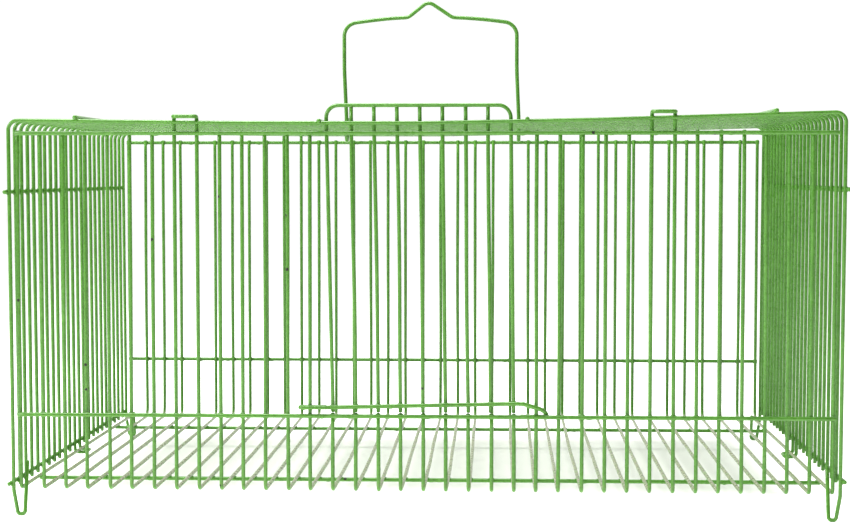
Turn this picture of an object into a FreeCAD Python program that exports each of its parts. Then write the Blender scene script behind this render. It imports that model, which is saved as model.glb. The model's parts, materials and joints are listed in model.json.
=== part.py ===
"""Wire bird cage: a lower basket, an upper cover clipped over it, a lift door and a carrying handle.

X runs along the cage, the door is on the -Y side and Z is up, in millimetres.
The origin is the middle of the base plane, which the four wire feet stand on.
"""
import FreeCAD, Part
import math
import os

Vec = FreeCAD.Vector

# Overall sizes, measured between wire centrelines
cage_length = 457.2  # outermost basket bars, end to end
cage_depth = 296.0  # front bars to rear bars
cage_height = 204.4  # floor bars to the point where the roof's two slopes meet
foot_drop = 14.5  # floor bars down to the bottom of a foot

# Wire stock
bar_diameter = 2.0
rail_diameter = 2.2
handle_diameter = 2.2
weld_sink = 0.12  # how far two welded wires are pressed into each other
fit_gap = 0.3  # clearance between wires that clip, seat or slide

# Basket
bar_spaces = 36
front_bend = 3.0
rear_bend = 7.0
rail_overhang = 1.4  # rail past the axis of the outermost bar
bar_overhang = 1.7  # bar end past the axis of its last rail
top_rail_drop = 3.5  # roof's low point down to the top rails
low_rail_rise = 42.1  # floor bars up to the low rails
floor_rail_inset = 45.0  # front or rear bars in to the floor rails
hook_wires = (("front_hook_wire_left", 7, -1), ("rear_hook_wire_left", 9, 1),
              ("rear_hook_wire_right", 26, 1), ("front_hook_wire_right", 28, -1))
hook_rise = 3.4  # roof wire up to the hook that holds it
hook_reach = 5.0  # hook's run over the roof wire
hook_bend = 2.2

# Cover
cover_spaces = 23
cover_bend = 5.5
cover_spread = 4.7  # roof corner past the outermost basket bar
cover_foot_spread = 3.8  # end bars past the outermost basket bar, at the floor
roof_fall_left = 4.0  # left roof corner above the roof's low point
roof_fall_right = 8.0  # right roof corner above the roof's low point
roof_bow = 100.0  # half length of the roof's curved middle stretch
end_rail_low = 2.7  # floor bars up to the lower left end rail
end_rail_low_lift = 4.4  # lower right end rail above the left one
end_rail_high = 167.9  # floor bars up to the upper left end rail
end_rail_high_lift = 1.7  # upper right end rail above the left one
cover_rail_overhang = 2.8
roof_rail_door_gap = 7.2  # door's side bars out to the inner roof rails
roof_rail_end_gap = 38.3  # roof corners in to the outer roof rails
ring_first = 11  # first of the two cover wires that close into a ring
ring_reach = 7.0  # ring's hooks, inwards under the floor
ring_bend = 2.6
ring_joint = 0.2  # open butt joint where the ring's two halves meet

# Feet, bent from the ends of the front and rear cover wires
foot_width = 4.0
foot_taper = 2.3
foot_taper_start = 1.0  # floor bars down to where the outer leg turns inwards
foot_bend = 1.8
foot_leg_rise = 15.0  # floor bars up to the end of a front foot's inner leg
rear_foot_leg_rise = 3.0
foot_leg_twist = 4.3  # front inner leg's end, in from the cover's face

# Door
door_spaces = 8
door_rise = 12.0  # roof's low point up to the top of the arch
door_bend = 7.0
slide_wire_rise = 2.9  # door bar ends up to the slide wire's left end
slide_wire_slope = 2.6  # slide wire's right end above its left end
slide_hook_reach = 5.8  # slide hook past the guide bar's axis
slide_tail = 14.7  # slide hook's return leg
slide_jog = 4.0  # door's side bars out to where the slide wire steps forward
slide_hook_lift = 1.4  # play between the right hook and the low rail under it
slide_hook_twist = 3.8  # right hook's return leg below its front leg

# Carrying handle
handle_side_gap = 1.0  # play between the handle's legs and the inner roof rails
handle_corner_rise = 67.0  # hinge wire up to the handle's corners
handle_shoulder_rise = 70.3
handle_peak_rise = 80.8
handle_shoulder_half = 14.0
handle_peak_bend = 2.6
handle_bend = 6.0
handle_hook_drop = 6.7  # hinge wire down to the bottom of the hook
handle_hook_tip = 8.0  # hinge wire up to the hook's tip
handle_hook_gap = 0.8  # play between the hook and the wire it hangs on

# Derived places
bar_radius = bar_diameter / 2
rail_radius = rail_diameter / 2
handle_radius = handle_diameter / 2
welded = bar_radius + rail_radius - weld_sink  # axis to axis of a bar and the rail on it
half_length = cage_length / 2
half_depth = cage_depth / 2
bar_pitch = cage_length / bar_spaces
floor_z = foot_drop + bar_radius
roof_z = floor_z + cage_height
top_rail_z = roof_z - top_rail_drop
low_rail_z = floor_z + low_rail_rise
rail_y = half_depth + welded
bar_top = top_rail_z + bar_overhang
sill_top = low_rail_z + bar_overhang + fit_gap
cover_half_depth = half_depth + bar_diameter + fit_gap
cover_pitch = 2 * cover_half_depth / cover_spaces
roof_half = half_length + cover_spread
end_foot_x = half_length + cover_foot_spread
door_half = door_spaces / 2 * bar_pitch
door_plane = rail_y - rail_radius - fit_gap - bar_radius
roof_rail_inner = door_half + roof_rail_door_gap
roof_rail_outer = roof_half - roof_rail_end_gap
handle_half = roof_rail_inner - rail_radius - handle_radius - handle_side_gap
hinge_y = -cover_half_depth + ring_first * cover_pitch


def fillet_arc(corner, toward_start, toward_end, radius):
    """Arc tangent to the two runs that meet at a corner, with the points where it begins and ends."""
    half_turn = toward_start.getAngle(toward_end) / 2
    setback = radius / math.tan(half_turn)
    middle = toward_start + toward_end
    middle.normalize()
    begin = corner + toward_start * setback
    end = corner + toward_end * setback
    crown = corner + middle * (radius / math.sin(half_turn) - radius)
    return Part.Arc(begin, crown, end), begin, end


def bent_wire(points, radii, diameter):
    """Round wire along straight runs, with a tangent bend of the given radius at each inner point."""
    edges = []
    start = points[0]
    for index, radius in enumerate(radii, 1):
        corner = points[index]
        toward_start = points[index - 1] - corner
        toward_end = points[index + 1] - corner
        toward_start.normalize()
        toward_end.normalize()
        arc, begin, end = fillet_arc(corner, toward_start, toward_end, radius)
        edges.append(Part.LineSegment(start, begin).toShape())
        edges.append(arc.toShape())
        start = end
    edges.append(Part.LineSegment(start, points[-1]).toShape())
    path = Part.Wire(edges)
    heading = points[1] - points[0]
    section = Part.Wire(Part.Circle(points[0], heading, diameter / 2).toShape())
    solid = path.makePipeShell([section], True, True)
    expected = path.Length * math.pi * diameter ** 2 / 4
    if not solid.isValid() or abs(solid.Volume / expected - 1) > 0.01:
        raise ValueError(f"bad sweep: {solid.Volume:.1f} mm3 against {expected:.1f} mm3")
    return solid


def rod(start, end, diameter):
    """Straight round wire between two points."""
    return Part.makeCylinder(diameter / 2, start.distanceToPoint(end), start, end - start)


def bar_x(index):
    """Place of a basket bar, counted from the left end."""
    return -half_length + index * bar_pitch


def cover_y(index):
    """Place of a cover wire, counted from the front."""
    return -cover_half_depth + index * cover_pitch


def roof_height(x):
    """Axis height of the roof wires at a place along the cage."""
    left_slope = roof_fall_left / roof_half
    right_slope = roof_fall_right / roof_half
    if x <= -roof_bow:
        return roof_z - left_slope * x
    if x >= roof_bow:
        return roof_z + right_slope * x
    rise = right_slope * (roof_bow + x) ** 2 + left_slope * (roof_bow - x) ** 2
    return roof_z + rise / (4 * roof_bow)


def end_x(side, z):
    """Axis of the cover's end bars at a height: they lean out a little towards the roof."""
    corner_z = roof_height(side * roof_half)
    share = (z - floor_z) / (corner_z - floor_z)
    return side * (end_foot_x + (roof_half - end_foot_x) * share)


def low_end_rail_z(side):
    """Height of a lower end rail, which sits higher on the right-hand end."""
    return floor_z + end_rail_low + (end_rail_low_lift if side > 0 else 0)


def high_end_rail_z(side):
    """Height of an upper end rail, which sits higher on the right-hand end."""
    return floor_z + end_rail_high + (end_rail_high_lift if side > 0 else 0)


def roof_run(y):
    """Corners of a cover wire's roof stretch and the radii of its bends."""
    left = Vec(-roof_half, y, roof_height(-roof_half))
    right = Vec(roof_half, y, roof_height(roof_half))
    turn = math.atan(roof_fall_left / roof_half) + math.atan(roof_fall_right / roof_half)
    bow_radius = roof_bow / math.tan(turn / 2)
    return [left, Vec(0, y, roof_z), right], [cover_bend, bow_radius, cover_bend]


def hinge_height():
    """Height of the handle's hinge line: the roof wire's mean height between its two hooks."""
    return (roof_height(-handle_half) + roof_height(handle_half)) / 2


def basket_bar(index):
    """One U bar of the basket: front upright, floor and rear upright."""
    x = bar_x(index)
    points = [Vec(x, -half_depth, bar_top), Vec(x, -half_depth, floor_z),
              Vec(x, half_depth, floor_z), Vec(x, half_depth, bar_top)]
    return bent_wire(points, [front_bend, rear_bend], bar_diameter)


def sill_bar(index):
    """A basket bar under the doorway, cut off just above the low front rail."""
    x = bar_x(index)
    points = [Vec(x, -half_depth, sill_top - fit_gap), Vec(x, -half_depth, floor_z),
              Vec(x, half_depth, floor_z), Vec(x, half_depth, bar_top)]
    return bent_wire(points, [front_bend, rear_bend], bar_diameter)


def hook_wire(index, side):
    """Two neighbouring bars made from one wire, whose loop hooks over the cover's edge wire."""
    x_first = bar_x(index)
    x_second = bar_x(index + 1)
    near = side * half_depth
    hook_z = max(roof_height(x_first), roof_height(x_second)) + hook_rise
    hook_y = near + side * hook_reach
    near_bend = front_bend if side < 0 else rear_bend
    far_bend = rear_bend if side < 0 else front_bend

    def leg(x):
        return [Vec(x, -near, bar_top), Vec(x, -near, floor_z), Vec(x, near, floor_z),
                Vec(x, near, hook_z), Vec(x, hook_y, hook_z)]

    leg_bends = [far_bend, near_bend, hook_bend, hook_bend]
    return bent_wire(leg(x_first) + leg(x_second)[::-1], leg_bends + leg_bends[::-1], bar_diameter)


def basket_rail(y, z):
    """Straight rail welded across every basket bar."""
    reach = half_length + rail_overhang
    return rod(Vec(-reach, y, z), Vec(reach, y, z), rail_diameter)


def cover_bar(index):
    """One plain cover wire: left end, roof and right end."""
    y = cover_y(index)
    points, radii = roof_run(y)
    ends = []
    for side in (-1, 1):
        z = low_end_rail_z(side) - bar_overhang - bar_radius
        ends.append(Vec(end_x(side, z), y, z))
    return bent_wire([ends[0]] + points + [ends[1]], radii, bar_diameter)


def cover_foot_wire(side):
    """Front or rear cover wire, whose two ends are bent into narrow hairpin feet."""
    y = side * cover_half_depth
    points, radii = roof_run(y)
    leg_top = floor_z + (foot_leg_rise if side < 0 else rear_foot_leg_rise)
    twist = (foot_leg_twist + bar_diameter) * leg_top / (floor_z + foot_leg_rise)

    def foot(end):
        shoulder_z = floor_z - foot_taper_start
        outer_x = end_x(end, shoulder_z)
        low_x = outer_x - end * foot_taper
        inner_x = low_x - end * foot_width
        return [Vec(inner_x, y - side * twist, leg_top), Vec(inner_x, y, bar_radius),
                Vec(low_x, y, bar_radius), Vec(outer_x, y, shoulder_z)]

    foot_bends = [foot_bend, foot_bend, foot_bend]
    return bent_wire(foot(-1) + points + foot(1)[::-1], foot_bends + radii + foot_bends, bar_diameter)


def ring_half(index, toward):
    """Half of the ring wire: one cover wire whose ends hook under the basket's floor towards the other half."""
    y = cover_y(index)
    meet_y = y + toward * (cover_pitch - ring_joint) / 2
    hook_z = floor_z - bar_diameter - fit_gap
    roof, roof_bends = roof_run(y)

    def hook(end):
        outer_x = end_x(end, hook_z)
        inner_x = outer_x - end * ring_reach
        return [Vec(inner_x, meet_y, hook_z), Vec(inner_x, y, hook_z), Vec(outer_x, y, hook_z)]

    hook_bends = [ring_bend] * 2
    return bent_wire(hook(-1) + roof + hook(1)[::-1], hook_bends + roof_bends + hook_bends, bar_diameter)


def ring_wire():
    """Two neighbouring cover wires that close into a ring under the basket's floor."""
    return Part.makeCompound([ring_half(ring_first, 1), ring_half(ring_first + 1, -1)])


def cross_rail(x, z):
    """Straight rail along Y, welded across every cover wire."""
    reach = cover_half_depth + cover_rail_overhang
    return rod(Vec(x, -reach, z), Vec(x, reach, z), rail_diameter)


def end_rail(side, z):
    """Rail across one end of the cover, on the outside."""
    return cross_rail(end_x(side, z) + side * welded, z)


def door_arch():
    """Frame of the door: two side bars and the top, in one bent wire."""
    top = roof_z + door_rise
    points = [Vec(-door_half, -door_plane, sill_top), Vec(-door_half, -door_plane, top),
              Vec(door_half, -door_plane, top), Vec(door_half, -door_plane, sill_top)]
    return bent_wire(points, [door_bend, door_bend], bar_diameter)


def door_bars():
    """Straight bars of the door, butted up under its arch."""
    top = roof_z + door_rise - bar_radius + weld_sink
    bars = []
    for step in range(1, door_spaces):
        x = -door_half + step * bar_pitch
        bars.append(rod(Vec(x, -door_plane, sill_top), Vec(x, -door_plane, top), bar_diameter))
    return Part.makeCompound(bars)


def door_slide_wire():
    """Cross wire of the door, hooked at both ends round the fixed bars beside the doorway."""
    left_z = sill_top + slide_wire_rise
    right_z = left_z + slide_wire_slope
    hook_z = low_rail_z + rail_diameter + slide_hook_lift
    weld_y = -door_plane - welded
    guide_y = -half_depth - bar_radius - rail_radius - fit_gap
    tail_y = -half_depth + bar_radius + rail_radius + fit_gap
    hook_x = door_half + bar_pitch + slide_hook_reach
    tail_x = hook_x - slide_tail
    step_x = door_half + bar_radius + fit_gap
    jog_x = step_x + slide_jog
    bend = (tail_y - guide_y) / 2 - fit_gap
    points = [Vec(-tail_x, tail_y, left_z - fit_gap), Vec(-hook_x, tail_y, left_z - fit_gap),
              Vec(-hook_x, guide_y, left_z), Vec(-jog_x, guide_y, left_z), Vec(-step_x, weld_y, left_z),
              Vec(step_x, weld_y, right_z), Vec(jog_x, guide_y, right_z), Vec(hook_x, guide_y, hook_z),
              Vec(hook_x, tail_y, hook_z - slide_hook_twist), Vec(tail_x, tail_y, hook_z - slide_hook_twist)]
    return bent_wire(points, [bend] * (len(points) - 2), rail_diameter)


def carry_handle():
    """Bail handle with a peaked top, hooked round one roof wire at both ends."""
    offset = bar_radius + handle_radius + handle_hook_gap
    hinge_z = hinge_height()

    def hook(side):
        x = side * handle_half
        low = hinge_z - handle_hook_drop
        return [Vec(x, hinge_y + offset, hinge_z + handle_hook_tip), Vec(x, hinge_y + offset, low),
                Vec(x, hinge_y - offset, low), Vec(x, hinge_y - offset, hinge_z + handle_corner_rise)]

    y = hinge_y - offset
    shoulder_z = hinge_z + handle_shoulder_rise
    top = [Vec(-handle_shoulder_half, y, shoulder_z), Vec(0, y, hinge_z + handle_peak_rise),
           Vec(handle_shoulder_half, y, shoulder_z)]
    hook_bends = [offset - weld_sink, offset - weld_sink, handle_bend]
    radii = hook_bends + [handle_peak_bend] * len(top) + hook_bends[::-1]
    return bent_wire(hook(-1) + top + hook(1)[::-1], radii, handle_diameter)


def basket():
    """Every piece of the lower basket."""
    pieces = {}
    hooked = [index + step for _, index, _ in hook_wires for step in (0, 1)]
    sill_first = (bar_spaces - door_spaces) // 2
    for index in range(bar_spaces + 1):
        if index in hooked:
            continue
        if sill_first <= index <= sill_first + door_spaces:
            pieces[f"sill_bar_{index:02d}"] = sill_bar(index)
        else:
            pieces[f"basket_bar_{index:02d}"] = basket_bar(index)
    for name, index, side in hook_wires:
        pieces[name] = hook_wire(index, side)
    for name, side in (("front", -1), ("rear", 1)):
        pieces[f"{name}_top_rail"] = basket_rail(side * rail_y, top_rail_z)
        pieces[f"{name}_low_rail"] = basket_rail(side * rail_y, low_rail_z)
        floor_rail_y = side * (half_depth - floor_rail_inset)
        pieces[f"{name}_floor_rail"] = basket_rail(floor_rail_y, floor_z - welded)
    return pieces


def cover():
    """Every piece of the upper cover."""
    pieces = {"cover_front_wire": cover_foot_wire(-1), "cover_rear_wire": cover_foot_wire(1),
              "cover_ring_wire": ring_wire()}
    plain = [index for index in range(1, cover_spaces) if index not in (ring_first, ring_first + 1)]
    group = math.ceil(len(plain) / 4)
    for number in range(4):
        members = plain[number * group:(number + 1) * group]
        pieces[f"cover_bars_{number + 1}"] = Part.makeCompound([cover_bar(index) for index in members])
    for name, side in (("left", -1), ("right", 1)):
        pieces[f"{name}_end_rail_upper"] = end_rail(side, high_end_rail_z(side))
        pieces[f"{name}_end_rail_lower"] = end_rail(side, low_end_rail_z(side))
        for place, x in (("inner", side * roof_rail_inner), ("outer", side * roof_rail_outer)):
            pieces[f"roof_rail_{name}_{place}"] = cross_rail(x, roof_height(x) + welded)
    return pieces


def door():
    """Every piece of the lift door."""
    return {"door_arch": door_arch(), "door_bars": door_bars(), "door_slide_wire": door_slide_wire()}


def main():
    os.makedirs("parts", exist_ok=True)
    pieces = {**basket(), **cover(), **door(), "carry_handle": carry_handle()}
    for name, shape in pieces.items():
        shape.exportStep(f"parts/{name}.step")
    print(len(pieces), "nodes, handle hinge at y", round(hinge_y, 3), "z", round(hinge_height(), 3))


main()
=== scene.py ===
"""Looks of the wire bird cage: every wire of the frame rebuilt as a smooth, hand-bent, enamelled one."""

import json
import math

import bpy
import numpy as np
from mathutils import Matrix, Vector


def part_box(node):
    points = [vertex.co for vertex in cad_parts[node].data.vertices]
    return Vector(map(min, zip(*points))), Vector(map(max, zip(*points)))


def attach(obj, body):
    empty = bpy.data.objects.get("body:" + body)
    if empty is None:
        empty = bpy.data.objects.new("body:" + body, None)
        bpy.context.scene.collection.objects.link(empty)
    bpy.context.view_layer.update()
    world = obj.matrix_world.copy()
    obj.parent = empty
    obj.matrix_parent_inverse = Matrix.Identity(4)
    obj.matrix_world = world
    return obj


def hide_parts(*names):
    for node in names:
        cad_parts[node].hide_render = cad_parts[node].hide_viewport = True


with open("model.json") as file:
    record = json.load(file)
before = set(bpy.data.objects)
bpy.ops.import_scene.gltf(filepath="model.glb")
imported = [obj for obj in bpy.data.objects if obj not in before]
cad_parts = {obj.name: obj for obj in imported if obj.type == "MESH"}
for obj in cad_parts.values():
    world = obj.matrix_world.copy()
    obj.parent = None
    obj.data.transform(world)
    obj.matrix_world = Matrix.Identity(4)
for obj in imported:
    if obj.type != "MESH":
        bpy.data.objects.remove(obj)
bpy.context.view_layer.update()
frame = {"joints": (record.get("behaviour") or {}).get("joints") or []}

MM = 0.001
TUBE_SIDES = 16
RUN_STEP = 7 * MM  # spacing of rings along a straight run
BEND_STEP = math.radians(11)  # turn between rings in a bend
SWELL = 0.015  # slow change of a wire's thickness, as a share of it
SWELL_LENGTH = 23 * MM
RIPPLE = 0.006  # quick change of it
CUT_END_SHARE = 0.72  # thickness of the rounded end, as a share of the wire's
CUT_END_DEPTH = 0.35  # how far the rounding reaches back, in radii
DRIP_LENGTH = 1.2 * MM  # reach of a hanging drip along the wire
WELD_PINCH = 0.16  # how much a weld draws in where the two wires leave it


# ---------------------------------------------------------------- sizes read from the frame

def low(node):
    """Lowest corner of a CAD node's box, in metres."""
    return Vector(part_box(node)[0])


def high(node):
    """Highest corner of that box."""
    return Vector(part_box(node)[1])


def mid(node):
    """Middle of that box."""
    return (low(node) + high(node)) / 2


FIRST_BAR = "basket_bar_00"
LAST_BAR = "basket_bar_36"
BAR_SPACES = 36
COVER_SPACES = 23
RING_FIRST = 11  # the ring wire is this cover wire and the next
DOOR_FIRST = 14  # basket bar at the doorway's left edge
DOOR_SPACES = 8
COVER_GROUPS = {1: range(1, 6), 2: range(6, 11), 3: range(13, 18), 4: range(18, 23)}
FRONT_HOOKS = {"front_hook_wire_left": 7, "front_hook_wire_right": 28}
REAR_HOOKS = {"rear_hook_wire_left": 9, "rear_hook_wire_right": 26}

bar_r = (high(FIRST_BAR).x - low(FIRST_BAR).x) / 2
rail_r = (high("front_low_rail").z - low("front_low_rail").z) / 2
handle_r = rail_r
ENAMEL = 0.08 * MM  # thickness of the paint, outside the wire
floor_z = low(FIRST_BAR).z + bar_r
bar_top = high(FIRST_BAR).z
wall_y = high(FIRST_BAR).y - bar_r
first_x = mid(FIRST_BAR).x
pitch = (mid(LAST_BAR).x - first_x) / BAR_SPACES
welded = abs(mid("front_floor_rail").z - floor_z)
low_rail_z = mid("front_low_rail").z
top_rail_z = mid("front_top_rail").z

cover_y = high("cover_rear_wire").y - bar_r
cover_pitch = 2 * cover_y / COVER_SPACES
roof_x = high("cover_rear_wire").x - bar_r
right_corner_z = high("cover_front_wire").z - bar_r
right_rail = mid("roof_rail_right_outer")
left_rail = mid("roof_rail_left_outer")
right_slope = (right_corner_z - right_rail.z + welded) / (roof_x - right_rail.x)
roof_z = right_corner_z - right_slope * roof_x
left_slope = (left_rail.z - welded - roof_z) / -left_rail.x
roof_bow = 100 * MM  # half of the curved stretch between the roof's two slopes
front_bend = 3 * MM
rear_bend = 7 * MM
roof_bend = 5.5 * MM
bar_stray = 0.75 * MM  # how far a hand-bent wire wanders off its straight course
hook_wire_stray = 0.5 * MM
cover_stray = 0.8 * MM
door_stray = 0.35 * MM
loop_bend = 2.3 * MM  # in the loops that hook the basket and the cover together
ring_bend = 2.6 * MM  # in the ring wire's hooks
ring_hook_reach = 7 * MM
end_overhang = 2.7 * MM  # of the cover's plain wires, below their lower end rail

foot_width = 4 * MM
foot_bend = 1.8 * MM
foot_shoulder_bend = 6 * MM
foot_shoulder_drop = 1 * MM  # of the foot's shoulder, below the floor bars
foot_step_in = 2.3 * MM  # of the outer leg's low end
foot_twist = 6.3 * MM  # of the front feet's inner legs, out of the wall's plane
front_leg_rise = 15 * MM  # of the inner legs' cut ends, above the floor bars
rear_leg_rise = 3 * MM


def bar_x(index):
    """Place of a basket bar along the cage."""
    return first_x + index * pitch


def cover_wire_y(index):
    """Place of a cover wire from front to rear."""
    return -cover_y + index * cover_pitch


def roof_height(x):
    """Axis height of the roof wires: two slopes with a curved stretch between them."""
    if x <= -roof_bow:
        return roof_z - left_slope * x
    if x >= roof_bow:
        return roof_z + right_slope * x
    return roof_z + (right_slope * (roof_bow + x) ** 2 + left_slope * (roof_bow - x) ** 2) / (4 * roof_bow)


def end_x(side, z):
    """Axis of the cover's end bars at a height, on the line through the two end rails."""
    name = "left" if side < 0 else "right"
    upper = mid(f"{name}_end_rail_upper")
    lower = mid(f"{name}_end_rail_lower")
    slope = (upper.x - lower.x) / (upper.z - lower.z)
    return lower.x + slope * (z - lower.z) - side * welded


# ---------------------------------------------------------------- centrelines

def smooth_path(points, radii):
    """Points along straight runs joined by tangent arcs: the centreline of a bent wire."""
    points = [np.array(p, float) for p in points]
    line = [points[0]]
    for index, radius in enumerate(radii, 1):
        corner = points[index]
        back = points[index - 1] - corner
        ahead = points[index + 1] - corner
        back /= np.linalg.norm(back)
        ahead /= np.linalg.norm(ahead)
        turn = math.pi - math.acos(float(np.clip(back @ ahead, -1, 1)))
        setback = radius * math.tan(turn / 2)
        middle = back + ahead
        middle /= np.linalg.norm(middle)
        centre = corner + middle * radius / math.cos(turn / 2)
        begin = corner + back * setback
        add_run(line, begin)
        spoke = (begin - centre) / radius
        steps = max(2, math.ceil(turn / BEND_STEP))
        for step in range(1, steps + 1):
            angle = turn * step / steps
            line.append(centre + radius * (spoke * math.cos(angle) - back * math.sin(angle)))
    add_run(line, points[-1])
    return np.array(line)


def add_run(line, end):
    """Adds evenly spaced points from the line's last point to end."""
    start = line[-1]
    length = np.linalg.norm(end - start)
    if length < 0.01 * MM:
        return
    steps = max(1, math.ceil(length / RUN_STEP))
    for step in range(1, steps + 1):
        line.append(start + (end - start) * step / steps)


def arc_lengths(line):
    """Length along a line from its start to each of its points."""
    return np.concatenate([[0], np.cumsum(np.linalg.norm(np.diff(line, axis=0), axis=1))])


def hand_bent(line, rng, axis, amount, waves=(0.9, 2.2, 4.1)):
    """Lets a wire wander along one axis, as a wire bent by hand does."""
    share = arc_lengths(line)
    share = share / share[-1]
    wander = np.zeros(len(line))
    for wave in waves:
        wander += np.sin(2 * math.pi * (wave * share + rng.random())) * rng.uniform(0.5, 1) / wave ** 0.7
    line = line.copy()
    line[:, axis] += wander * amount / len(waves)
    return line


def lean(line, axis, base_z, top_z, shift):
    """Shifts a wire sideways in proportion to its height, none at base_z and all of it at top_z."""
    line = line.copy()
    line[:, axis] += shift * np.clip((line[:, 2] - base_z) / (top_z - base_z), 0, 1.1)
    return line


def crossing(line, axis, first, second):
    """Point of a wire nearest to a rail that runs along axis, at the other two coordinates."""
    others = [k for k in range(3) if k != axis]
    rail = np.array([first, second])
    begin = line[:-1]
    step = line[1:] - begin
    flat = step[:, others]
    share = np.sum((rail - begin[:, others]) * flat, axis=1) / np.maximum(np.sum(flat ** 2, axis=1), 1e-12)
    points = begin + step * np.clip(share, 0, 1)[:, None]
    gap = np.sum((points[:, others] - rail) ** 2, axis=1)
    return points[int(np.argmin(gap))]


# ---------------------------------------------------------------- meshes

class Shell:
    """Vertices and faces of one piece, gathered wire by wire."""

    def __init__(self):
        self.points = []
        self.faces = []
        self.count = 0

    def add(self, points, faces):
        self.points.append(np.asarray(points, float))
        self.faces += [tuple(index + self.count for index in face) for face in faces]
        self.count += len(points)

    def make(self, name, body, material, nodes):
        mesh = bpy.data.meshes.new(name)
        mesh.from_pydata(np.concatenate(self.points).tolist(), [], self.faces)
        mesh.materials.append(material)
        for polygon in mesh.polygons:
            polygon.use_smooth = True
        mesh.update()
        piece = bpy.data.objects.new(name, mesh)
        bpy.context.scene.collection.objects.link(piece)
        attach(piece, body)
        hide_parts(*nodes)
        return piece


def with_drips(line, drips):
    """Adds close rings round each drip, so that its swelling has a round outline."""
    spacing = np.array([-2.4, -1.6, -0.9, -0.3, 0.3, 0.9, 1.6, 2.4]) * MM
    end_gap = 0.5 * MM
    closest = 0.15 * MM
    if not len(drips):
        return line
    along = arc_lengths(line)
    extra = [place + step for place in drips for step in spacing]
    extra = [place for place in extra if end_gap < place < along[-1] - end_gap]
    stations = np.unique(np.round(np.concatenate([along, extra]), 6))
    keep = np.concatenate([[True], np.diff(stations) > closest])
    stations = stations[keep]
    return np.stack([np.interp(stations, along, line[:, k]) for k in range(3)], 1)


def ring_frames(line):
    """Tangent and two normals at each point of a line, turned as little as possible along it."""
    tangents = np.gradient(line, axis=0)
    tangents /= np.linalg.norm(tangents, axis=1)[:, None]
    guess = np.array([0.0, 0, 1]) if abs(tangents[0][2]) < 0.9 else np.array([0.0, 1, 0])
    normal = np.cross(tangents[0], guess)
    normals = []
    for tangent in tangents:
        normal = normal - tangent * (normal @ tangent)
        normal /= np.linalg.norm(normal)
        normals.append(normal)
    normals = np.array(normals)
    return tangents, normals, np.cross(tangents, normals)


def tube(shell, line, radius, rng, drips=0, closed=False):
    """Round enamelled wire along a line: slightly uneven thickness, rounded cut ends, hanging drips."""
    total = arc_lengths(line)[-1]
    places = np.sort(rng.uniform(0.04, 0.96, drips)) * total  # clear of the wire's ends
    heights = rng.uniform(0.18, 0.42, drips) * radius
    line = with_drips(line, places)
    tangents, first, second = ring_frames(line)
    along = arc_lengths(line)
    swelling = SWELL * np.sin(along / SWELL_LENGTH + rng.uniform(0, 6))
    uneven = 1 + swelling + RIPPLE * rng.standard_normal(len(line))
    scale = np.full(len(line), radius + ENAMEL) * uneven
    if not closed:
        cut = radius * CUT_END_DEPTH
        line = np.concatenate([line[:1], line, line[-1:]])
        line[1] = line[0] + tangents[0] * cut
        line[-2] = line[-1] - tangents[-1] * cut
        first = np.concatenate([first[:1], first, first[-1:]])
        second = np.concatenate([second[:1], second, second[-1:]])
        scale = np.concatenate([scale[:1] * CUT_END_SHARE, scale, scale[-1:] * CUT_END_SHARE])
        along = np.concatenate([along[:1], along, along[-1:]])
    angles = np.arange(TUBE_SIDES) * 2 * math.pi / TUBE_SIDES
    out = first[:, None] * np.cos(angles)[None, :, None] + second[:, None] * np.sin(angles)[None, :, None]
    points = line[:, None] + out * scale[:, None, None]
    for place, height in zip(places, heights):
        swell = np.exp(-((along - place) / DRIP_LENGTH) ** 2)[:, None] * np.clip(-out[:, :, 2], 0, 1) ** 2
        points[:, :, 2] -= height * swell
    count = len(line)
    faces = []
    for ring in range(count if closed else count - 1):
        here = ring * TUBE_SIDES
        there = (ring + 1) % count * TUBE_SIDES
        for side in range(TUBE_SIDES):
            after = (side + 1) % TUBE_SIDES
            faces.append((here + side, here + after, there + after, there + side))
    points = points.reshape(-1, 3)
    if not closed:
        points = np.concatenate([points, [line[0]], [line[-1]]])
        last = (count - 1) * TUBE_SIDES
        for side in range(TUBE_SIDES):
            after = (side + 1) % TUBE_SIDES
            faces.append((after, side, count * TUBE_SIDES))
            faces.append((last + side, last + after, count * TUBE_SIDES + 1))
    shell.add(points, faces)


def weld(shell, at, toward, along_first, along_second, rng, size=1.0):
    """Lump of weld and pooled enamel where two wires cross."""
    normal = np.array(toward, float)
    normal /= np.linalg.norm(normal)
    first = np.array(along_first, float)
    second = np.array(along_second, float)
    reach = bar_r * rng.uniform(1.55, 1.95) * size
    spread = bar_r * rng.uniform(1.55, 1.95) * size
    thick = bar_r * rng.uniform(0.55, 0.75) * size
    around, rows = 12, 7  # points round the lump, and steps from its top to its underside
    points = []
    for row in range(1, rows):
        tilt = math.pi * row / rows
        for step in range(around):
            turn = 2 * math.pi * step / around
            pinch = 1 - WELD_PINCH * math.cos(4 * turn)
            flat = math.sin(tilt) * pinch
            points.append(first * reach * flat * math.cos(turn) + second * spread * flat * math.sin(turn)
                          + normal * thick * math.cos(tilt))
    points += [normal * thick, -normal * thick]
    points = np.array(points) + np.array(at)
    faces = []
    for row in range(rows - 2):
        for step in range(around):
            after = (step + 1) % around
            faces.append((row * around + step, row * around + after,
                          (row + 1) * around + after, (row + 1) * around + step))
    top = (rows - 1) * around
    last = (rows - 2) * around
    for step in range(around):
        after = (step + 1) % around
        faces.append((step, top, after))
        faces.append((last + after, top + 1, last + step))
    shell.add(points, faces)


# ---------------------------------------------------------------- materials

def link(tree, source, target):
    """Joins two sockets."""
    tree.links.new(source, target)


def node(tree, kind, **inputs):
    """Shader node of a kind, with the named inputs set."""
    made = tree.nodes.new(kind)
    for name, value in inputs.items():
        made.inputs[name.replace("_", " ")].default_value = value
    return made


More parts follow.
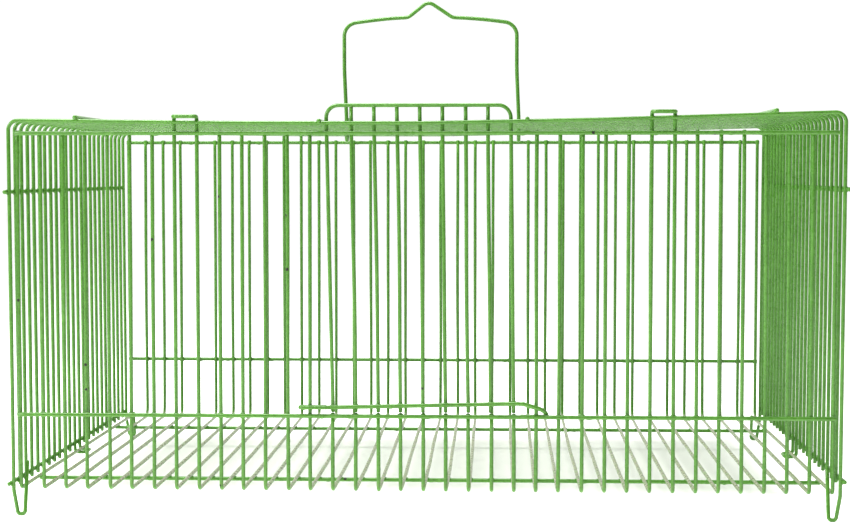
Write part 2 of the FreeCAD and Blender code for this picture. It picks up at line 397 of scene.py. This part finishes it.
def noise(tree, place, scale, detail=3.0, roughness=0.55):
    """Noise value at a place."""
    made = node(tree, "ShaderNodeTexNoise", Scale=scale, Detail=detail, Roughness=roughness)
    link(tree, place, made.inputs["Vector"])
    return made.outputs["Fac"]


def spread(tree, value, low_in, high_in, low_out=0.0, high_out=1.0):
    """Maps a value from one range to another, smoothly and clamped."""
    made = node(tree, "ShaderNodeMapRange")
    made.interpolation_type = "SMOOTHSTEP"
    made.inputs["From Min"].default_value = low_in
    made.inputs["From Max"].default_value = high_in
    made.inputs["To Min"].default_value = low_out
    made.inputs["To Max"].default_value = high_out
    link(tree, value, made.inputs["Value"])
    return made.outputs["Result"]


def mixed(tree, factor, first, second):
    """Colour mix: each of the two is a colour or a socket."""
    made = tree.nodes.new("ShaderNodeMix")
    made.data_type = "RGBA"
    link(tree, factor, made.inputs["Factor"])
    for name, value in (("A", first), ("B", second)):
        socket = [s for s in made.inputs if s.name == name and s.type == "RGBA"][0]
        if isinstance(value, tuple):
            socket.default_value = (*value, 1)
        else:
            link(tree, value, socket)
    return [s for s in made.outputs if s.type == "RGBA"][0]


def math_node(tree, operation, first, second):
    """Result of an operation on two numbers or sockets."""
    made = tree.nodes.new("ShaderNodeMath")
    made.operation = operation
    for index, value in enumerate((first, second)):
        if isinstance(value, (int, float)):
            made.inputs[index].default_value = value
        else:
            link(tree, value, made.inputs[index])
    return made.outputs[0]


# linear colours of the enamel, of the painted overhead highlight on the floor bars' tops, and of the dark
# metal in chips
GREEN = (0.112, 0.300, 0.045)
GREEN_DEEP = (0.092, 0.262, 0.034)
GREEN_LIGHT = (0.155, 0.360, 0.070)
FLOOR_TOP_HIGHLIGHT = (0.235, 0.262, 0.135)
CHIP = (0.018, 0.020, 0.014)


def enamel(name, painted_floor_highlight=False):
    """Brushed-on gloss enamel over wire: uneven colour, orange peel, chips down to dark metal."""
    material = bpy.data.materials.new(name)
    material.use_nodes = True
    tree = material.node_tree
    shader = tree.nodes["Principled BSDF"]
    place = tree.nodes.new("ShaderNodeTexCoord").outputs["Object"]

    # broad patches and fine brush streaks
    patches = spread(tree, noise(tree, place, 55), 0.35, 0.68)
    colour = mixed(tree, patches, GREEN_DEEP, GREEN)
    streaks = spread(tree, noise(tree, place, 210, 4), 0.52, 0.72)
    colour = mixed(tree, math_node(tree, "MULTIPLY", streaks, 0.45), colour, GREEN_LIGHT)

    if painted_floor_highlight:  # painted highlight: paler on the upward-facing top of the floor run, below the rear bend, where the overhead light falls
        split = tree.nodes.new("ShaderNodeSeparateXYZ")
        link(tree, place, split.inputs[0])
        surface = tree.nodes.new("ShaderNodeNewGeometry")
        facing = tree.nodes.new("ShaderNodeSeparateXYZ")
        link(tree, surface.outputs["Normal"], facing.inputs[0])
        floor_run = spread(tree, split.outputs["Z"], floor_z + 1.5 * MM, floor_z + 5 * MM, 1.0, 0.0)
        upward = spread(tree, facing.outputs["Z"], -0.35, 0.35)
        highlight_patches = spread(tree, noise(tree, place, 130, 4), 0.30, 0.55, 0.55, 1.0)
        # painted overhead highlight on the floor bars' tops, broken into patches by noise
        painted_highlight = math_node(tree, "MULTIPLY", math_node(tree, "MULTIPLY", floor_run, upward), highlight_patches)
        colour = mixed(tree, painted_highlight, colour, FLOOR_TOP_HIGHLIGHT)

    # one chip in some of the cells, with a ragged edge
    cells = node(tree, "ShaderNodeTexVoronoi", Scale=105.0)
    link(tree, place, cells.inputs["Vector"])
    lot = tree.nodes.new("ShaderNodeSeparateColor")
    link(tree, cells.outputs["Color"], lot.inputs[0])
    chosen = spread(tree, lot.outputs["Red"], 0.90, 0.92)
    ragged = math_node(tree, "MULTIPLY", noise(tree, place, 900, 2), 0.16)
    spot = spread(tree, math_node(tree, "ADD", cells.outputs["Distance"], ragged), 0.15, 0.19, 1.0, 0.0)
    chips = math_node(tree, "MULTIPLY", chosen, spot)
    colour = mixed(tree, chips, colour, CHIP)
    link(tree, colour, shader.inputs["Base Color"])

    gloss = spread(tree, noise(tree, place, 320, 3), 0.3, 0.7, 0.22, 0.40)
    matt = math_node(tree, "MULTIPLY", chips, 0.35)
    link(tree, math_node(tree, "ADD", gloss, matt), shader.inputs["Roughness"])
    shader.inputs["Coat Weight"].default_value = 0.3
    shader.inputs["Coat Roughness"].default_value = 0.14
    shader.inputs["IOR"].default_value = 1.5

    # orange peel, sags of thick enamel, and the chips' pits
    peel = node(tree, "ShaderNodeBump", Strength=0.08, Distance=0.00010)
    link(tree, noise(tree, place, 520, 1), peel.inputs["Height"])
    sags = node(tree, "ShaderNodeBump", Strength=0.22, Distance=0.0005)
    link(tree, noise(tree, place, 160, 2), sags.inputs["Height"])
    link(tree, peel.outputs["Normal"], sags.inputs["Normal"])
    pits = node(tree, "ShaderNodeBump", Strength=0.8, Distance=0.0002)
    pits.invert = True
    link(tree, chips, pits.inputs["Height"])
    link(tree, sags.outputs["Normal"], pits.inputs["Normal"])
    link(tree, pits.outputs["Normal"], shader.inputs["Normal"])
    return material


# ---------------------------------------------------------------- basket

def is_sill(index):
    """Whether a basket bar is cut short in front, under the doorway."""
    return DOOR_FIRST <= index <= DOOR_FIRST + DOOR_SPACES


def basket_lines(rng):
    """Centreline of every basket bar, by its number."""
    lines = {}
    sill_top = low_rail_z + (bar_top - top_rail_z)
    for index in range(BAR_SPACES + 1):
        x = bar_x(index)
        front_top = sill_top if is_sill(index) else bar_top
        line = smooth_path([(x, -wall_y, front_top), (x, -wall_y, floor_z), (x, wall_y, floor_z),
                            (x, wall_y, bar_top)], [front_bend, rear_bend])
        lines[index] = hand_bent(line, rng, 0, bar_stray)
    return lines


def hook_line(name, index, side, rng):
    """Centreline of two neighbouring bars joined by the loop that hooks over the cover's edge wire."""
    hook_z = high(name).z - bar_r
    near = side * wall_y
    hook_y = (low(name).y + bar_r) if side < 0 else (high(name).y - bar_r)
    near_bend = front_bend if side < 0 else rear_bend
    far_bend = rear_bend if side < 0 else front_bend
    bends = [far_bend, near_bend, loop_bend, loop_bend]

    def leg(x):
        return [(x, -near, bar_top), (x, -near, floor_z), (x, near, floor_z), (x, near, hook_z),
                (x, hook_y, hook_z)]

    points = leg(bar_x(index)) + leg(bar_x(index + 1))[::-1]
    return hand_bent(smooth_path(points, bends + bends[::-1]), rng, 0, hook_wire_stray)


def build_basket(rng):
    """All bars and rails of the lower basket."""
    lines = basket_lines(rng)
    hooked = {**FRONT_HOOKS, **REAR_HOOKS}
    for name, index in hooked.items():
        side = -1 if name in FRONT_HOOKS else 1
        line = hook_line(name, index, side, rng)
        half = len(line) // 2
        lines[index] = line[:half]
        lines[index + 1] = line[half:]
        shell = Shell()
        tube(shell, line, bar_r, rng, drips=3)
        shell.make(f"{name}_enamelled", "cage", floor_enamel, [name])
    in_hooks = [bar for first in hooked.values() for bar in (first, first + 1)]
    for index in range(BAR_SPACES + 1):
        if index in in_hooks:
            continue
        name = f"{'sill' if is_sill(index) else 'basket'}_bar_{index:02d}"
        shell = Shell()
        tube(shell, lines[index], bar_r, rng, drips=int(rng.integers(1, 4)))
        shell.make(f"{name}_enamelled", "cage", floor_enamel, [name])
    for name in ("front_top_rail", "front_low_rail", "rear_top_rail", "rear_low_rail",
                 "front_floor_rail", "rear_floor_rail"):
        build_basket_rail(name, lines, rng)


def build_basket_rail(name, lines, rng):
    """A rail welded across the basket's bars, with a weld at each bar that it crosses."""
    axis = mid(name)
    line = smooth_path([(low(name).x, axis.y, axis.z), (high(name).x, axis.y, axis.z)], [])
    shell = Shell()
    tube(shell, line, rail_r, rng, drips=9)
    for index, bar in lines.items():
        if name == "front_top_rail" and is_sill(index):
            continue
        point = crossing(bar, 0, axis.y, axis.z)
        toward = np.array([0, axis.y - point[1], axis.z - point[2]])
        at = np.array([point[0], *(point[1:] + toward[1:] * bar_r / (bar_r + rail_r))])
        upright = (0, 1, 0) if "floor" in name else (0, 0, 1)
        size = 0.78 if name == "front_top_rail" else 1.0
        weld(shell, at, toward, upright, (1, 0, 0), rng, size)
    shell.make(f"{name}_enamelled", "cage", rail_enamel, [name])


# ---------------------------------------------------------------- cover

def roof_corners(y):
    """Corners of a roof wire: left end, low point and right end."""
    return [(-roof_x, y, roof_height(-roof_x)), (0, y, roof_z), (roof_x, y, roof_height(roof_x))]


def roof_bends():
    """Bend radii at those corners: the middle one spans the bow between the two slopes."""
    turn = math.atan(left_slope) + math.atan(right_slope)
    return [roof_bend, roof_bow / math.tan(turn / 2), roof_bend]


def beside_handle(index):
    """Whether a cover wire is next to the ring wire, where the handle turns and needs its room."""
    return index in (RING_FIRST - 1, RING_FIRST + 2)


def cover_line(index, rng):
    """Centreline of one plain cover wire."""
    y = cover_wire_y(index)
    ends = []
    for side, name in ((-1, "left"), (1, "right")):
        z = mid(f"{name}_end_rail_lower").z - end_overhang
        ends.append((end_x(side, z), y, z))
    line = smooth_path([ends[0]] + roof_corners(y) + [ends[1]], roof_bends())
    return line if beside_handle(index) else hand_bent(line, rng, 1, cover_stray)


def foot_line(side):
    """Centreline of the front or rear cover wire, with a hairpin foot at each end."""
    y = side * cover_y
    leg_top = floor_z + (front_leg_rise if side < 0 else rear_leg_rise)
    twist = foot_twist * leg_top / (floor_z + front_leg_rise)

    def foot(end):
        shoulder_z = floor_z - foot_shoulder_drop
        outer_x = end_x(end, shoulder_z)
        low_x = outer_x - end * foot_step_in
        inner_x = low_x - end * foot_width
        return [(inner_x, y - side * twist, leg_top), (inner_x, y, bar_r), (low_x, y, bar_r),
                (outer_x, y, shoulder_z)]

    bends = [foot_bend, foot_bend, foot_shoulder_bend]
    return smooth_path(foot(-1) + roof_corners(y) + foot(1)[::-1], bends + roof_bends() + bends[::-1])


def ring_line():
    """Centreline of the closed ring wire that hooks under the basket's floor at both ends."""
    y_first = cover_wire_y(RING_FIRST)
    y_second = cover_wire_y(RING_FIRST + 1)
    hook_z = low("cover_ring_wire").z + bar_r

    def hook(end, y):
        outer_x = end_x(end, hook_z)
        return [(outer_x, y, hook_z), (outer_x - end * ring_hook_reach, y, hook_z)]

    begin_x = roof_bow + 2 * ring_bend  # on a straight stretch, so that the closed line has no kink
    begin = (begin_x, y_first, roof_height(begin_x))
    first = roof_corners(y_first)
    right = hook(1, y_first) + hook(1, y_second)[::-1]
    left = hook(-1, y_second) + hook(-1, y_first)[::-1]
    points = [begin, first[2]] + right + roof_corners(y_second)[::-1] + left + first[:2] + [begin]
    hook_bends = [ring_bend] * 4
    radii = [roof_bend] + hook_bends + roof_bends()[::-1] + hook_bends + roof_bends()[:2]
    return smooth_path(points, radii)[:-1]


def build_cover(rng):
    """All wires and rails of the upper cover."""
    lines = []
    for number, members in COVER_GROUPS.items():
        shell = Shell()
        for index in members:
            line = cover_line(index, rng)
            lines.append(line)
            tube(shell, line, bar_r, rng, drips=0 if beside_handle(index) else 2)
        shell.make(f"cover_bars_{number}_enamelled", "cage", rail_enamel, [f"cover_bars_{number}"])
    for name, side in (("cover_front_wire", -1), ("cover_rear_wire", 1)):
        line = foot_line(side)
        lines.append(line)
        shell = Shell()
        tube(shell, line, bar_r, rng, drips=3)
        shell.make(f"{name}_enamelled", "cage", rail_enamel, [name])
    line = ring_line()
    for half in (line[:len(line) // 2], line[len(line) // 2:]):
        lines.append(half)
    shell = Shell()
    tube(shell, line, bar_r, rng, closed=True)
    shell.make("cover_ring_wire_enamelled", "cage", rail_enamel, ["cover_ring_wire"])
    for side in ("left", "right"):
        for place in ("inner", "outer"):
            build_cover_rail(f"roof_rail_{side}_{place}", lines, rng)
        for place in ("upper", "lower"):
            build_cover_rail(f"{side}_end_rail_{place}", lines, rng)


def build_cover_rail(name, lines, rng):
    """A rail welded across the cover's wires, on the roof or on one end."""
    axis = mid(name)
    line = smooth_path([(axis.x, low(name).y, axis.z), (axis.x, high(name).y, axis.z)], [])
    shell = Shell()
    tube(shell, line, rail_r, rng, drips=5)
    if name.startswith("roof"):
        along = (1, 0, 0)
        toward = np.array([0, 0, axis.z - roof_height(axis.x)])
    else:
        along = (0, 0, 1)
        toward = np.array([axis.x - end_x(math.copysign(1, axis.x), axis.z), 0, 0])
    touch = np.array(axis) - toward * rail_r / (bar_r + rail_r)
    size = 0.75 if name.endswith("inner") else 1.0  # small beside the handle's hooks
    for wire in lines:
        touch[1] = crossing(wire, 1, axis.x, axis.z)[1]
        weld(shell, touch, toward, along, (0, 1, 0), rng, size)
    shell.make(f"{name}_enamelled", "cage", rail_enamel, [name])


# ---------------------------------------------------------------- door and handle

def build_door(rng):
    """Arch, bars and slide wire of the lift door, which leans a little to the left."""
    arch_bend = 7 * MM
    left_lean, right_lean, bar_lean = -3.6 * MM, -2.0 * MM, -1.9 * MM
    plane = mid("door_arch").y
    half = high("door_arch").x - bar_r
    base = low("door_arch").z
    top = high("door_arch").z - bar_r
    arch = smooth_path([(-half, plane, base), (-half, plane, top), (half, plane, top), (half, plane, base)],
                       [arch_bend, arch_bend])
    left = arch[:, 0] < 0
    arch[left] = lean(arch[left], 0, base, top, left_lean)
    arch[~left] = lean(arch[~left], 0, base, top, right_lean)
    shell = Shell()
    tube(shell, arch, bar_r, rng, drips=2)
    shell.make("door_arch_enamelled", "door", rail_enamel, ["door_arch"])

    bars = []
    shell = Shell()
    for step in range(1, DOOR_SPACES):
        x = -half + step * pitch
        line = smooth_path([(x, plane, base), (x, plane, top - bar_r * 0.9)], [])
        line = lean(hand_bent(line, rng, 0, door_stray, (0.5, 1.1)), 0, base, top, bar_lean)
        bars.append(line)
        tube(shell, line, bar_r, rng, drips=1)
        weld(shell, (line[-1][0], plane, top - bar_r * 0.8), (0, 0, 1), (1, 0, 0), (0, 1, 0), rng, 0.8)
    shell.make("door_bars_enamelled", "door", rail_enamel, ["door_bars"])

    tail_length = 14.7 * MM
    tilt = 2.6 * MM  # the slide wire's left end is this much lower
    left_tail_drop = 0.3 * MM
    right_hook_rise = 3.8 * MM  # of the right hook's front side, above its tail
    bend, long_bend = 2.1 * MM, 6 * MM
    box_low, box_high = low("door_slide_wire"), high("door_slide_wire")
    guide_y = box_low.y + rail_r
    tail_y = box_high.y - rail_r
    weld_y = plane - welded
    hook_x = box_high.x - rail_r
    tail_x = hook_x - tail_length
    right_z = box_high.z - rail_r
    left_z = right_z - tilt
    left_tail_z = left_z - left_tail_drop
    tail_z = box_low.z + rail_r
    step_x = half + 1.3 * MM  # the wire steps forward here, from the door to the guide
    jog_x = step_x + 4 * MM
    wire = smooth_path([
        (-tail_x, tail_y, left_tail_z), (-hook_x, tail_y, left_tail_z), (-hook_x, guide_y, left_z),
        (-jog_x, guide_y, left_z), (-step_x, weld_y, left_z), (step_x, weld_y, right_z),
        (jog_x, guide_y, right_z), (hook_x, guide_y, tail_z + right_hook_rise), (hook_x, tail_y, tail_z),
        (tail_x, tail_y, tail_z)], [bend] * 6 + [long_bend, bend])
    shell = Shell()
    tube(shell, wire, rail_r, rng, drips=3)
    for line in bars + [arch[left], arch[~left]]:
        point = crossing(line, 0, plane, (left_z + right_z) / 2)
        z = left_z + (right_z - left_z) * (point[0] + step_x) / (2 * step_x)
        at = (point[0], plane - bar_r, z)
        weld(shell, at, (0, -1, 0), (0, 0, 1), (1, 0, 0), rng)
    shell.make("door_slide_wire_enamelled", "door", rail_enamel, ["door_slide_wire"])


HANDLE_BOW = 1.2 * MM  # how far the handle's top stands above its straight course


def bowed_top(line, above, half):
    """Lets the handle's two straight top runs swell upwards a little."""
    line = line.copy()
    across = np.clip(np.abs(line[:, 0]) / half, 0, 1)
    line[:, 2] += HANDLE_BOW * np.sin(math.pi * across) * (line[:, 2] > above)
    return line


def build_handle(rng):
    """Bail handle with its peaked top and the two hooks that hang on the roof wire."""
    lowest, highest = low("carry_handle"), high("carry_handle")
    half = highest.x - handle_r
    hinge_y, hinge_z = [joint for joint in frame["joints"] if joint["name"] == "handle_fold"][0]["pos_m"][1:]
    offset = highest.y - handle_r - hinge_y
    bottom = lowest.z + handle_r
    hook_end = hinge_z + 8 * MM
    corner = hinge_z + 67 * MM
    shoulder = hinge_z + 70.3 * MM
    peak = highest.z - handle_r + HANDLE_BOW
    crest_half, crest_shift = 14 * MM, -1 * MM
    hook_bend = offset - 0.12 * MM
    corner_bend, shoulder_bend, peak_bend = 8 * MM, 6 * MM, 5 * MM
    lean_left, lean_height = 1.3 * MM, 30 * MM
    leg_y = hinge_y - offset

    def hook(side):
        x = side * half
        return [(x, hinge_y + offset, hook_end), (x, hinge_y + offset, bottom),
                (x, leg_y, bottom), (x, leg_y, corner)]

    crest = [(-crest_half, leg_y, shoulder), (crest_shift, leg_y, peak), (crest_half, leg_y, shoulder)]
    bends = [hook_bend, hook_bend, corner_bend]
    crest_bends = [shoulder_bend, peak_bend, shoulder_bend]
    line = smooth_path(hook(-1) + crest + hook(1)[::-1], bends + crest_bends + bends[::-1])
    line[:, 0] -= lean_left * np.clip((line[:, 2] - hook_end) / lean_height, 0, 1)
    line = bowed_top(line, corner - shoulder_bend, half)
    shell = Shell()
    tube(shell, line, handle_r, rng)
    shell.make("carry_handle_enamelled", "handle", rail_enamel, ["carry_handle"])


# ---------------------------------------------------------------- room, light and camera

PAPER = (0.90, 0.89, 0.88)
PAPER_UNDER = (0.740, 0.742, 0.712)  # shaded, under the cage
FLOOR_REACH = 8.0  # metres each way
FLOOR_GLOW = 0.55  # extra brightness of the paper round the cage, which hides the paper's edge
SHADED = (("X", 0.0, 0.19), ("Y", 0.045, 0.085))  # middle and half width of the shaded part, metres
ROOM_DIM = 0.10  # brightness of the room in front of the cage
ROOM_BRIGHT = 1.03  # brightness of the white backdrop behind it
ROOM_TOP = 0.12  # added straight above
LENS_MM = 74.1
CAMERA_DOWN = math.radians(2.86)
CAMERA_LEFT = math.radians(2.4)


def build_stage():
    """White floor, bright backdrop and soft light from above and the left."""
    floor = bpy.data.meshes.new("floor")
    reach = FLOOR_REACH
    floor.from_pydata([(-reach, -reach, 0), (reach, -reach, 0), (reach, reach, 0), (-reach, reach, 0)],
                      [], [(0, 1, 2, 3)])
    material = bpy.data.materials.new("floor_white")
    material.use_nodes = True
    tree = material.node_tree
    shader = tree.nodes["Principled BSDF"]
    shader.inputs["Roughness"].default_value = 0.9
    shader.inputs["Emission Color"].default_value = (1, 1, 1, 1)
    place = tree.nodes.new("ShaderNodeSeparateXYZ")
    link(tree, tree.nodes.new("ShaderNodeTexCoord").outputs["Object"], place.inputs[0])
    past = []
    for axis, middle, half in SHADED:
        off = math_node(tree, "ABSOLUTE", math_node(tree, "SUBTRACT", place.outputs[axis], middle), 0)
        past.append(math_node(tree, "SUBTRACT", off, half))
    outwards = math_node(tree, "MAXIMUM", *past)
    pale = spread(tree, outwards, 0.0, 0.05)
    link(tree, mixed(tree, pale, PAPER_UNDER, PAPER), shader.inputs["Base Color"])
    glow = spread(tree, outwards, 0.0, 0.08, 0.0, FLOOR_GLOW)
    link(tree, glow, shader.inputs["Emission Strength"])
    floor.materials.append(material)
    ground = bpy.data.objects.new("floor", floor)
    bpy.context.scene.collection.objects.link(ground)

    world = bpy.data.worlds.new("studio")
    world.use_nodes = True
    tree = world.node_tree
    heading = tree.nodes.new("ShaderNodeSeparateXYZ")
    link(tree, tree.nodes.new("ShaderNodeTexCoord").outputs["Generated"], heading.inputs[0])
    behind = spread(tree, heading.outputs["Y"], -0.05, 0.55, ROOM_DIM, ROOM_BRIGHT)
    above = spread(tree, heading.outputs["Z"], 0.30, 0.95, 0.0, ROOM_TOP)
    link(tree, math_node(tree, "ADD", behind, above), tree.nodes["Background"].inputs["Strength"])
    tree.nodes["Background"].inputs["Color"].default_value = (1, 1, 1, 1)
    bpy.context.scene.world = world
    view = bpy.context.scene.view_settings
    view.view_transform = "Standard"
    view.gamma = 0.85

    add_light("overhead", (-0.30, -0.10, 1.3), (0, 0, 0), 0.9, 27)
    add_light("key_left", (-1.5, -1.2, 0.8), (0, 0, 0.1), 0.5, 19)


def add_light(name, place, target, size, power):
    """Square soft light, pointed at a target."""
    light = bpy.data.lights.new(name, "AREA")
    light.size = size
    light.energy = power
    lamp = bpy.data.objects.new(name, light)
    lamp.location = place
    lamp.rotation_euler = (Vector(target) - Vector(place)).to_track_quat("-Z", "Y").to_euler()
    bpy.context.scene.collection.objects.link(lamp)


def build_camera():
    """Camera 1.1 m in front of the cage, a little to the right and above it."""
    camera = bpy.data.cameras.new("camera")
    camera.sensor_width = 36
    camera.lens = LENS_MM
    camera.clip_end = 50
    eye = bpy.data.objects.new("camera", camera)
    eye.location = (42 * MM, -1125 * MM, floor_z + 178 * MM)
    eye.rotation_euler = (math.pi / 2 - CAMERA_DOWN, 0, CAMERA_LEFT)
    bpy.context.scene.collection.objects.link(eye)
    bpy.context.scene.camera = eye


# the basket's enamel carries a painted overhead highlight on the floor bars' tops
floor_enamel = enamel("enamel_basket", painted_floor_highlight=True)
rail_enamel = enamel("enamel_wire")
seeded = np.random.default_rng(7)
build_camera()
build_basket(seeded)
build_cover(seeded)
build_door(seeded)
build_handle(seeded)
build_stage()
